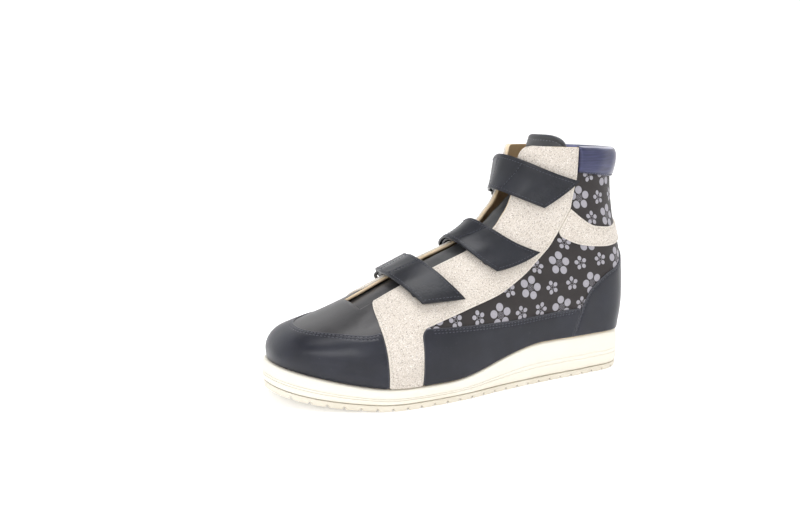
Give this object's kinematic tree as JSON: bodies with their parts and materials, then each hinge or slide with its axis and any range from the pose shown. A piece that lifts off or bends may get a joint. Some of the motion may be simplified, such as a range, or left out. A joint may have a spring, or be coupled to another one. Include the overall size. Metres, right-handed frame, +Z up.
{
  "type": "high-top shoe with three straps",
  "caption": "High-top shoe on a wedge sole, open at collar and throat, with a tongue inside.",
  "frame": {"origin": "the heel's flat rest on the floor, on the shoe's long axis", "axes": "+X from heel to toe, +Y to the wearer's left (the outer side), +Z up"},
  "size_m": [0.2755, 0.099, 0.173],
  "materials": {
    "rubber": "matte",
    "foam": "satin",
    "lining": "matte",
    "printed_fabric": "matte",
    "navy_leather": "satin",
    "canvas": "matte",
    "metallic_leather": "gloss",
    "grey_leather": "satin",
    "black_wire": "gloss"
  },
  "bodies": {
    "root": {"outsole": "rubber", "midsole": "foam", "insole": "lining", "upper": "printed_fabric", "tongue": "grey_leather", "toe_wrap": "navy_leather", "eyestay_outer": "canvas", "eyestay_inner": "canvas", "ankle_band": "canvas", "side_guard_outer": "navy_leather", "side_guard_inner": "navy_leather", "heel_counter": "navy_leather", "collar_pad": "metallic_leather", "strap_low": "navy_leather", "ring_low": "black_wire", "tab_low": "navy_leather", "strap_middle": "navy_leather", "ring_middle": "black_wire", "tab_middle": "navy_leather", "strap_high": "navy_leather", "ring_high": "black_wire", "tab_high": "navy_leather"}
  },
  "joints": []
}
